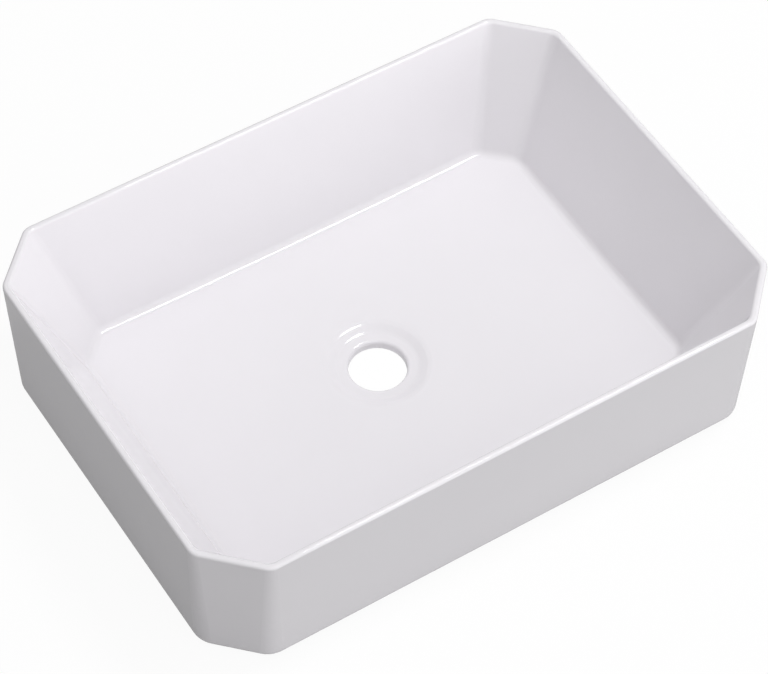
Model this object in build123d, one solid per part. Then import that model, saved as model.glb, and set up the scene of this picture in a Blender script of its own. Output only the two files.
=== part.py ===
from build123d import *
from math import atan, cos, hypot, pi, sqrt, tan
import os

# Countertop basin: a rectangular ceramic bowl with cut corners that stands on a worktop on small
# rubber pads. Lengths are in millimetres. X runs along the long side, -Y is the front, +Z is up.
# The pads stand on Z = 0 and the origin is under the middle of the basin.

# Outside of the casting
LENGTH = 500.0          # over the rim, left to right
WIDTH = 361.0           # over the rim, front to back
HEIGHT = 123.4          # ceramic only, foot to rim
CORNER_CUT = 41.0       # how far each 45 degree cut runs along a side at the rim
CORNER_RADIUS = 12.0    # soft edge between a side and a corner cut at the rim
FOOT_CORNER_RADIUS = 22.0   # the same edge at the foot
WALL_TAPER = 4.5        # each outer wall leans in by this much from rim to foot
RIM_THICKNESS = 5.2
RIM_ROUNDING = 2.2
FOOT_ROUNDING = 6.0     # outer wall into the foot

# Inside of the bowl
FLOOR_HEIGHT = 21.0     # where wall and floor meet, above the foot
END_WALL_RUN = 45.3     # how far the left and right walls slope in from rim to floor
SIDE_WALL_RUN = 38.8    # how far the front and back walls slope in from rim to floor
INNER_RADIUS = 11.0     # soft edge between the bowl's walls at the rim
FLOOR_CUT = 24.5        # corner cut where wall and floor meet
FLOOR_RADIUS = 13.0
FLOOR_FALL = 2.0        # the floor sinks this much from its ends to the dish
FLOOR_BLEND = 7.0       # rounding between wall and floor

# Waste hole, a standard basin outlet with a dish for the waste's flange
HOLE_X = -6.0           # the hole sits a little left of the middle
HOLE_RADIUS = 23.0
HOLE_LIP = 2.5          # rounding from dish into hole
HOLE_LAND = 5.0         # straight wall of the hole
HOLE_RELIEF = 3.0       # chamfer under the hole
DISH_RADIUS = 40.0
DISH_DEPTH = 5.0
DISH_BLEND = 10.0
LEDGE_RADIUS = 32.0     # nearly flat ledge round the hole, for the waste's flange
LEDGE_RISE = 1.2
LEDGE_BLEND = 8.0
SEAT_RADIUS = 42.0      # flat ring under the hole for the waste's gasket and nut
SEAT_ROUNDING = 1.5

# Hidden walls
SKIRT_THICKNESS = 7.0
SHELL_THICKNESS = 7.5   # bowl wall, square to its surface
FLOOR_THICKNESS = 10.5
SHELL_ROUNDING = 6.0    # under the bowl, floor into wall
FOOT_WIDTH = 20.0       # ring the casting stands on
FOOT_DEPTH = 10.0       # height of the thick part of that ring
FOOT_INNER_ROUNDING = 2.0
GROOVE_WIDTH = 8.0      # skirt to bowl at the top of the hollow between them
GROOVE_ROUNDING = 3.0

# Stick-on pads under the foot
PAD_RADIUS = 5.5
PAD_THICKNESS = 1.5
PAD_EDGE = 0.3

DIAGONAL = 2-sqrt(2)    # a corner cut shortens by this share of a parallel inset

# Half sizes of the rim's inner edge and of the floor
rim_x = LENGTH/2-RIM_THICKNESS
rim_y = WIDTH/2-RIM_THICKNESS
rim_cut = CORNER_CUT-RIM_THICKNESS*DIAGONAL
floor_x = rim_x-END_WALL_RUN
floor_y = rim_y-SIDE_WALL_RUN


def outline(half_x, half_y, cut, radius, z):
    """A rectangle with cut and softened corners, as a flat section at height z."""
    points = [(half_x, cut-half_y), (half_x, half_y-cut), (half_x-cut, half_y), (cut-half_x, half_y),
              (-half_x, half_y-cut), (-half_x, cut-half_y), (cut-half_x, -half_y), (half_x-cut, -half_y)]
    face = Polygon(*points, align=None)
    return Pos(0, 0, z)*fillet(face.vertices(), radius)


def outer(z, inset=0.0):
    """Section of the outer wall at height z above the foot, moved in by inset."""
    share = 1-z/HEIGHT
    step = inset+WALL_TAPER*share
    radius = CORNER_RADIUS+(FOOT_CORNER_RADIUS-CORNER_RADIUS)*share
    return outline(LENGTH/2-step, WIDTH/2-step, CORNER_CUT-step*DIAGONAL, max(radius-inset, 4.0), z)


def inner(z, outset=0.0):
    """Section of the bowl's inside at height z above the foot, moved out by outset."""
    share = (z-FLOOR_HEIGHT)/(HEIGHT-FLOOR_HEIGHT)
    half_x = floor_x+END_WALL_RUN*share+outset
    half_y = floor_y+SIDE_WALL_RUN*share+outset
    cut = FLOOR_CUT+(rim_cut-FLOOR_CUT)*share+outset*DIAGONAL
    radius = FLOOR_RADIUS+(INNER_RADIUS-FLOOR_RADIUS)*share+outset
    return outline(half_x, half_y, cut, radius, z)


def between(low, high):
    """Straight walls from one section to the next."""
    return loft([low, high], ruled=True)


# Levels above the foot, and the lean of the bowl's walls
wall_slope = atan(END_WALL_RUN/(HEIGHT-FLOOR_HEIGHT))
shell = SHELL_THICKNESS/cos(wall_slope)
dish_top = FLOOR_HEIGHT-FLOOR_FALL
dish_bottom = dish_top-DISH_DEPTH
ledge_slope = atan(LEDGE_RISE/(LEDGE_RADIUS-HOLE_RADIUS))
dish_slope = (DISH_DEPTH-LEDGE_RISE)/(DISH_RADIUS-LEDGE_RADIUS)
lip_drop = HOLE_LIP*tan((pi/2-ledge_slope)/2)
seat = dish_bottom-lip_drop-HOLE_LAND-HOLE_RELIEF
floor_under = dish_top-FLOOR_THICKNESS
foot_top = FOOT_DEPTH+FOOT_WIDTH-SKIRT_THICKNESS
closing = SIDE_WALL_RUN/(HEIGHT-FLOOR_HEIGHT)-WALL_TAPER/HEIGHT
groove_top = HEIGHT-(GROOVE_WIDTH+shell+SKIRT_THICKNESS-RIM_THICKNESS)/closing

# Bowl: sloping walls down to a floor that is a very flat dome turned over, so water runs to the hole
floor_curve = floor_x**2/(2*FLOOR_FALL)
bowl = between(inner(dish_top-2), inner(HEIGHT+4))
bowl &= Pos(HOLE_X, 0, dish_top+floor_curve)*Sphere(floor_curve)
ledge = dish_bottom+LEDGE_RISE
dish_reach = DISH_RADIUS-LEDGE_RADIUS+DISH_BLEND
dish = loft([Pos(HOLE_X, 0, dish_bottom)*Circle(HOLE_RADIUS), Pos(HOLE_X, 0, ledge)*Circle(LEDGE_RADIUS)])
dish += loft([Pos(HOLE_X, 0, ledge)*Circle(LEDGE_RADIUS),
              Pos(HOLE_X, 0, ledge+dish_slope*dish_reach)*Circle(LEDGE_RADIUS+dish_reach)])
body = between(outer(0), outer(HEIGHT))-bowl-dish
body -= Pos(HOLE_X, 0, seat)*extrude(Circle(HOLE_RADIUS), dish_top-seat)

# Rounded junctions that hands and water meet
floor_edges = body.edges().filter_by(
    lambda e: dish_top-0.5 < e.center().Z < FLOOR_HEIGHT+2
    and hypot(e.center().X-HOLE_X, e.center().Y) > 2*DISH_RADIUS and e.bounding_box().size.Z < 2)
body = fillet(floor_edges, FLOOR_BLEND)
dish_edges = body.edges().filter_by(
    lambda e: e.center().Z > ledge+0.5 and hypot(e.center().X-HOLE_X, e.center().Y) < 2*DISH_RADIUS
    and e.bounding_box().size.Z < 1)
body = fillet(dish_edges, DISH_BLEND)
body = fillet(body.edges().filter_by_position(Axis.Z, ledge-0.01, ledge+0.01), LEDGE_BLEND)
body = fillet(body.edges().filter_by_position(Axis.Z, dish_bottom-0.01, dish_bottom+0.01), HOLE_LIP)
body = fillet(body.edges().filter_by_position(Axis.Z, HEIGHT-0.01, HEIGHT+0.01), RIM_ROUNDING)
body = fillet(body.edges().filter_by_position(Axis.Z, -0.01, 0.01), FOOT_ROUNDING)

# Hollow underneath: a ring-shaped foot, a thin skirt above it, and the bowl hanging inside
bowl_outside = between(inner(floor_under, shell), inner(groove_top+1, shell))
under_edges = bowl_outside.edges().filter_by_position(Axis.Z, floor_under-0.01, floor_under+0.01)
bowl_outside = fillet(under_edges, SHELL_ROUNDING)
hollow = between(outer(-1, FOOT_WIDTH), outer(FOOT_DEPTH, FOOT_WIDTH))
hollow += between(outer(FOOT_DEPTH, FOOT_WIDTH), outer(foot_top, SKIRT_THICKNESS))
hollow += between(outer(foot_top, SKIRT_THICKNESS), outer(groove_top, SKIRT_THICKNESS))
hollow -= bowl_outside
groove_edges = hollow.edges().filter_by_position(Axis.Z, groove_top-0.01, groove_top+0.01)
hollow = fillet(groove_edges, GROOVE_ROUNDING)
hollow -= Pos(HOLE_X, 0, seat)*extrude(Circle(SEAT_RADIUS), groove_top)
body -= hollow
foot_face = body.faces().filter_by_position(Axis.Z, -0.01, 0.01)[0]
body = body.fillet(FOOT_INNER_ROUNDING, foot_face.inner_wires()[0].edges())
seat_face = body.faces().filter_by_position(Axis.Z, seat-0.01, seat+0.01)[0]
body = body.fillet(SEAT_ROUNDING, seat_face.outer_wire().edges())
seat_face = body.faces().filter_by_position(Axis.Z, seat-0.01, seat+0.01)[0]
body = body.chamfer(HOLE_RELIEF, None, seat_face.inner_wires()[0].edges())
body = Pos(0, 0, PAD_THICKNESS)*body

# Six pads: one under each corner cut and one under the middle of each long side
pad_inset = (FOOT_ROUNDING+FOOT_WIDTH-FOOT_INNER_ROUNDING)/2
foot_x = LENGTH/2-WALL_TAPER
foot_y = WIDTH/2-WALL_TAPER
foot_cut = CORNER_CUT-WALL_TAPER*DIAGONAL
corner_step = foot_cut/2+pad_inset/sqrt(2)
corner = Vector(foot_x-corner_step, foot_y-corner_step)
pad = extrude(Circle(PAD_RADIUS), PAD_THICKNESS)
pad = fillet(pad.edges().filter_by_position(Axis.Z, -0.01, 0.01), PAD_EDGE)
nodes = {"basin_body": body}
for side, y in (("front", -1), ("back", 1)):
    nodes[f"foot_pad_{side}_left"] = Pos(-corner.X, y*corner.Y)*pad
    nodes[f"foot_pad_{side}_middle"] = Pos(0, y*(foot_y-pad_inset))*pad
    nodes[f"foot_pad_{side}_right"] = Pos(corner.X, y*corner.Y)*pad

os.makedirs("parts", exist_ok=True)
for name, piece in nodes.items():
    export_step(piece, f"parts/{name}.step")
print(f"seat {seat+PAD_THICKNESS:.4f}, land {seat+HOLE_RELIEF+PAD_THICKNESS:.4f} to"
      f" {dish_bottom-lip_drop+PAD_THICKNESS:.4f}, groove top {groove_top+PAD_THICKNESS:.3f},"
      f" pads at {corner.X:.3f} {corner.Y:.3f} {foot_y-pad_inset:.3f}")
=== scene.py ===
import bpy
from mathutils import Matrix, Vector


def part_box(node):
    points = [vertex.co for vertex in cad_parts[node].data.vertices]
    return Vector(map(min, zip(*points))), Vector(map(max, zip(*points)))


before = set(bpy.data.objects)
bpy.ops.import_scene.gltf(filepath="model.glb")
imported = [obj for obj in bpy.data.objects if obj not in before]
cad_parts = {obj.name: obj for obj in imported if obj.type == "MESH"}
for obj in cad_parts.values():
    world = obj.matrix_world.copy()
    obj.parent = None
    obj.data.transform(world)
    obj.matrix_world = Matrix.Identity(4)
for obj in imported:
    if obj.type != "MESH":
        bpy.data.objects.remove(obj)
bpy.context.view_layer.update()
bpy.ops.object.select_all(action="DESELECT")

# Basin casting
# One piece of vitreous china, slip-cast, dipped in clear-over-white glaze and fired. The ring it
# stands on is wiped and ground after firing, so its flat face shows the bare, slightly buff body.
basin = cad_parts["basin_body"]
foot_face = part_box("basin_body")[0][2]


def unevenness(name):
    """Shader group: soft waviness and fine grain of a cast surface, as a height and a tone mask."""
    group = bpy.data.node_groups.new(name, "ShaderNodeTree")
    face = group.interface
    face.new_socket("Vector", in_out="INPUT", socket_type="NodeSocketVector")
    for label, default in (("Wave Scale", 6.0), ("Grain Scale", 400.0), ("Grain Share", 0.1)):
        face.new_socket(label, in_out="INPUT", socket_type="NodeSocketFloat").default_value = default
    face.new_socket("Height", in_out="OUTPUT", socket_type="NodeSocketFloat")
    face.new_socket("Tone", in_out="OUTPUT", socket_type="NodeSocketFloat")
    given = group.nodes.new("NodeGroupInput")
    result = group.nodes.new("NodeGroupOutput")
    wave = group.nodes.new("ShaderNodeTexNoise")
    wave.inputs["Detail"].default_value = 2.0
    grain = group.nodes.new("ShaderNodeTexNoise")
    grain.inputs["Detail"].default_value = 1.0
    blend = group.nodes.new("ShaderNodeMix")
    link = group.links.new
    link(given.outputs["Vector"], wave.inputs["Vector"])
    link(given.outputs["Wave Scale"], wave.inputs["Scale"])
    link(given.outputs["Vector"], grain.inputs["Vector"])
    link(given.outputs["Grain Scale"], grain.inputs["Scale"])
    link(given.outputs["Grain Share"], blend.inputs["Factor"])
    link(wave.outputs["Fac"], blend.inputs["A"])
    link(grain.outputs["Fac"], blend.inputs["B"])
    link(blend.outputs["Result"], result.inputs["Height"])
    link(wave.outputs["Fac"], result.inputs["Tone"])
    return group


cast_surface = unevenness("cast_surface")

glaze = bpy.data.materials.new("white_glaze")
glaze.use_nodes = True
nodes = glaze.node_tree.nodes
link = glaze.node_tree.links.new
shader = nodes["Principled BSDF"]
shader.inputs["IOR"].default_value = 1.5
place = nodes.new("ShaderNodeTexCoord")
surface = nodes.new("ShaderNodeGroup")
surface.node_tree = cast_surface
surface.inputs["Wave Scale"].default_value = 9.0
surface.inputs["Grain Scale"].default_value = 260.0
surface.inputs["Grain Share"].default_value = 0.01
link(place.outputs["Object"], surface.inputs["Vector"])

# glaze colour: very slightly uneven milk white
milk = nodes.new("ShaderNodeMix")
milk.data_type = "RGBA"
milk.inputs["A"].default_value = (0.868, 0.848, 0.880, 1)
milk.inputs["B"].default_value = (0.892, 0.873, 0.903, 1)
link(surface.outputs["Tone"], milk.inputs["Factor"])

# bare foot: flat face at the bottom of the casting, where the glaze ends just above it
glaze_line = foot_face+0.0004
glaze_fade = 0.0008
split = nodes.new("ShaderNodeSeparateXYZ")
link(place.outputs["Object"], split.inputs["Vector"])
height = nodes.new("ShaderNodeMapRange")
height.inputs["From Min"].default_value = glaze_line
height.inputs["From Max"].default_value = glaze_line+glaze_fade
height.inputs["To Min"].default_value = 1.0
height.inputs["To Max"].default_value = 0.0
link(split.outputs["Z"], height.inputs["Value"])
grit = nodes.new("ShaderNodeTexNoise")
grit.inputs["Scale"].default_value = 900.0
grit.inputs["Detail"].default_value = 3.0
link(place.outputs["Object"], grit.inputs["Vector"])
bisque = nodes.new("ShaderNodeMix")
bisque.data_type = "RGBA"
bisque.inputs["A"].default_value = (0.60, 0.55, 0.47, 1)
bisque.inputs["B"].default_value = (0.74, 0.70, 0.62, 1)
link(grit.outputs["Fac"], bisque.inputs["Factor"])
colour = nodes.new("ShaderNodeMix")
colour.data_type = "RGBA"
link(height.outputs["Result"], colour.inputs["Factor"])
link(milk.outputs["Result"], colour.inputs["A"])
link(bisque.outputs["Result"], colour.inputs["B"])
link(colour.outputs["Result"], shader.inputs["Base Color"])
rough = nodes.new("ShaderNodeMapRange")
rough.inputs["To Min"].default_value = 0.085
rough.inputs["To Max"].default_value = 0.85
link(height.outputs["Result"], rough.inputs["Value"])
link(rough.outputs["Result"], shader.inputs["Roughness"])
bump = nodes.new("ShaderNodeBump")
bump.inputs["Strength"].default_value = 0.25
bump.inputs["Distance"].default_value = 0.0015
link(surface.outputs["Height"], bump.inputs["Height"])
link(bump.outputs["Normal"], shader.inputs["Normal"])
basin.data.materials.clear()
basin.data.materials.append(glaze)

# Foot pads
# Six small discs of pale silicone rubber, die-cut from sheet and stuck to the bare foot with their
# own adhesive. They lift the china 1.5 mm so that it can't rock or scratch the worktop.
rubber = bpy.data.materials.new("silicone_pad")
rubber.use_nodes = True
nodes = rubber.node_tree.nodes
link = rubber.node_tree.links.new
shader = nodes["Principled BSDF"]
place = nodes.new("ShaderNodeTexCoord")
surface = nodes.new("ShaderNodeGroup")
surface.node_tree = cast_surface
surface.inputs["Wave Scale"].default_value = 120.0
surface.inputs["Grain Scale"].default_value = 2500.0
surface.inputs["Grain Share"].default_value = 0.6
link(place.outputs["Object"], surface.inputs["Vector"])
tone = nodes.new("ShaderNodeMix")
tone.data_type = "RGBA"
tone.inputs["A"].default_value = (0.46, 0.46, 0.44, 1)
tone.inputs["B"].default_value = (0.60, 0.60, 0.58, 1)
link(surface.outputs["Tone"], tone.inputs["Factor"])
link(tone.outputs["Result"], shader.inputs["Base Color"])
rough = nodes.new("ShaderNodeMapRange")
rough.inputs["To Min"].default_value = 0.45
rough.inputs["To Max"].default_value = 0.7
link(surface.outputs["Height"], rough.inputs["Value"])
link(rough.outputs["Result"], shader.inputs["Roughness"])
bump = nodes.new("ShaderNodeBump")
bump.inputs["Strength"].default_value = 0.4
bump.inputs["Distance"].default_value = 0.0002
link(surface.outputs["Height"], bump.inputs["Height"])
link(bump.outputs["Normal"], shader.inputs["Normal"])
for name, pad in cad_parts.items():
    if name.startswith("foot_pad"):
        pad.data.materials.clear()
        pad.data.materials.append(rubber)

# Studio floor
# A wide white sweep under the basin. The camera sees it nearly white with a soft shadow, and the
# glaze mirrors it pale. Inside the foot ring, seen only through the waste hole, it glows plain white:
# painted light that hides the basin's shade there.
bpy.ops.mesh.primitive_plane_add(size=24.0, location=(0, 0, 0))
floor = bpy.context.object
floor.name = "studio_floor"
sweep = bpy.data.materials.new("white_sweep")
sweep.use_nodes = True
nodes = sweep.node_tree.nodes
link = sweep.node_tree.links.new
nodes.remove(nodes["Principled BSDF"])
ray = nodes.new("ShaderNodeLightPath")
place = nodes.new("ShaderNodeTexCoord")

# painted light: a plain white glowing patch under the basin, where its shade falls, and where it has
# faded out
painted_light_radius = 0.10
painted_light_edge = 0.13
reach = nodes.new("ShaderNodeVectorMath")
reach.operation = "LENGTH"
link(place.outputs["Object"], reach.inputs[0])
painted_light_patch = nodes.new("ShaderNodeMapRange")
painted_light_patch.inputs["From Min"].default_value = painted_light_edge
painted_light_patch.inputs["From Max"].default_value = painted_light_radius
link(reach.outputs["Value"], painted_light_patch.inputs["Value"])

# paper: mid grey where it throws light back at the basin, white to the camera, and white on the
# painted-light patch in the basin's shade
white = nodes.new("ShaderNodeMath")
white.operation = "MAXIMUM"
link(ray.outputs["Is Camera Ray"], white.inputs[0])
link(painted_light_patch.outputs["Result"], white.inputs[1])
tone = nodes.new("ShaderNodeMapRange")
tone.inputs["To Min"].default_value = 0.40
tone.inputs["To Max"].default_value = 0.95
link(white.outputs[0], tone.inputs["Value"])
paper = nodes.new("ShaderNodeBsdfDiffuse")
link(tone.outputs["Result"], paper.inputs["Color"])

# glow: nearly all of what the camera sees, and a quarter of what the glaze mirrors
glow = nodes.new("ShaderNodeEmission")
glow.inputs["Color"].default_value = (1, 1, 1, 1)
glow.inputs["Strength"].default_value = 1.0
mirrored = nodes.new("ShaderNodeMath")
mirrored.operation = "MAXIMUM"
link(ray.outputs["Is Glossy Ray"], mirrored.inputs[0])
link(ray.outputs["Is Transmission Ray"], mirrored.inputs[1])
pale = nodes.new("ShaderNodeMath")
pale.operation = "MULTIPLY"
pale.inputs[1].default_value = 0.25
link(mirrored.outputs[0], pale.inputs[0])
# camera share of the glow: full on the painted-light patch under the basin, a little less elsewhere so a
# soft shadow stays
seen = nodes.new("ShaderNodeMapRange")
seen.inputs["To Min"].default_value = 0.93
seen.inputs["To Max"].default_value = 1.0
link(painted_light_patch.outputs["Result"], seen.inputs["Value"])
direct = nodes.new("ShaderNodeMath")
direct.operation = "MULTIPLY"
link(ray.outputs["Is Camera Ray"], direct.inputs[0])
link(seen.outputs["Result"], direct.inputs[1])
share = nodes.new("ShaderNodeMath")
share.operation = "ADD"
link(direct.outputs[0], share.inputs[0])
link(pale.outputs[0], share.inputs[1])
both = nodes.new("ShaderNodeMixShader")
link(share.outputs[0], both.inputs["Fac"])
link(paper.outputs["BSDF"], both.inputs[1])
link(glow.outputs["Emission"], both.inputs[2])
link(both.outputs["Shader"], nodes["Material Output"].inputs["Surface"])
floor.data.materials.append(sweep)

# Studio light
# A pale room, brightest in front and overhead, with a soft box nearly overhead and to the right, and
# a broad weak light from the front right, which leaves the left side darkest.
world = bpy.data.worlds.new("studio_room")
bpy.context.scene.world = world
world.use_nodes = True
nodes = world.node_tree.nodes
link = world.node_tree.links.new
room = nodes["Background"]
room.inputs["Color"].default_value = (1, 1, 1, 1)
place = nodes.new("ShaderNodeTexCoord")

# brightness from above, from the front and from behind, each fading out to its sides
level = None
for towards, strength in (
        ((0.0, 0.0, 1.0), 0.56),
        ((0.0, -1.0, 0.0), 0.83),
        ((0.0, 1.0, 0.0), 0.22)):
    facing = nodes.new("ShaderNodeVectorMath")
    facing.operation = "DOT_PRODUCT"
    facing.inputs[1].default_value = towards
    link(place.outputs["Generated"], facing.inputs[0])
    front = nodes.new("ShaderNodeMath")
    front.operation = "MAXIMUM"
    front.inputs[1].default_value = 0.0
    link(facing.outputs["Value"], front.inputs[0])
    total = nodes.new("ShaderNodeMath")
    total.operation = "MULTIPLY_ADD"
    total.inputs[1].default_value = strength
    total.inputs[2].default_value = 0.0
    link(front.outputs[0], total.inputs[0])
    if level:
        link(level.outputs[0], total.inputs[2])
    level = total
link(level.outputs[0], room.inputs["Strength"])

bpy.ops.object.light_add(type="AREA", location=(0.82, -0.12, 2.2))
key = bpy.context.object
key.name = "overhead_softbox"
key.data.shape = "RECTANGLE"
key.data.size = 0.64
key.data.size_y = 0.38
key.data.energy = 19.0
key.rotation_euler = (0.05, 0.37, 0.0)

bpy.ops.object.light_add(type="AREA", location=(1.6, -2.4, 0.45))
fill = bpy.context.object
fill.name = "front_fill"
fill.data.shape = "RECTANGLE"
fill.data.size = 2.4
fill.data.size_y = 0.8
fill.data.energy = 13.0
fill.rotation_euler = (1.436, 0.0, 0.588)

# Camera
# A long lens from the front left, looking down by a little over fifty degrees.
bpy.ops.object.camera_add(location=(-0.80133, -1.1986, 1.92409), rotation=(0.65507, -0.019342, -0.56451))
camera = bpy.context.object
camera.data.lens = 145.08
camera.data.sensor_width = 36.0
camera.data.shift_x = -0.0023
camera.data.clip_end = 50.0
bpy.context.scene.camera = camera
bpy.context.scene.view_settings.view_transform = "Standard"
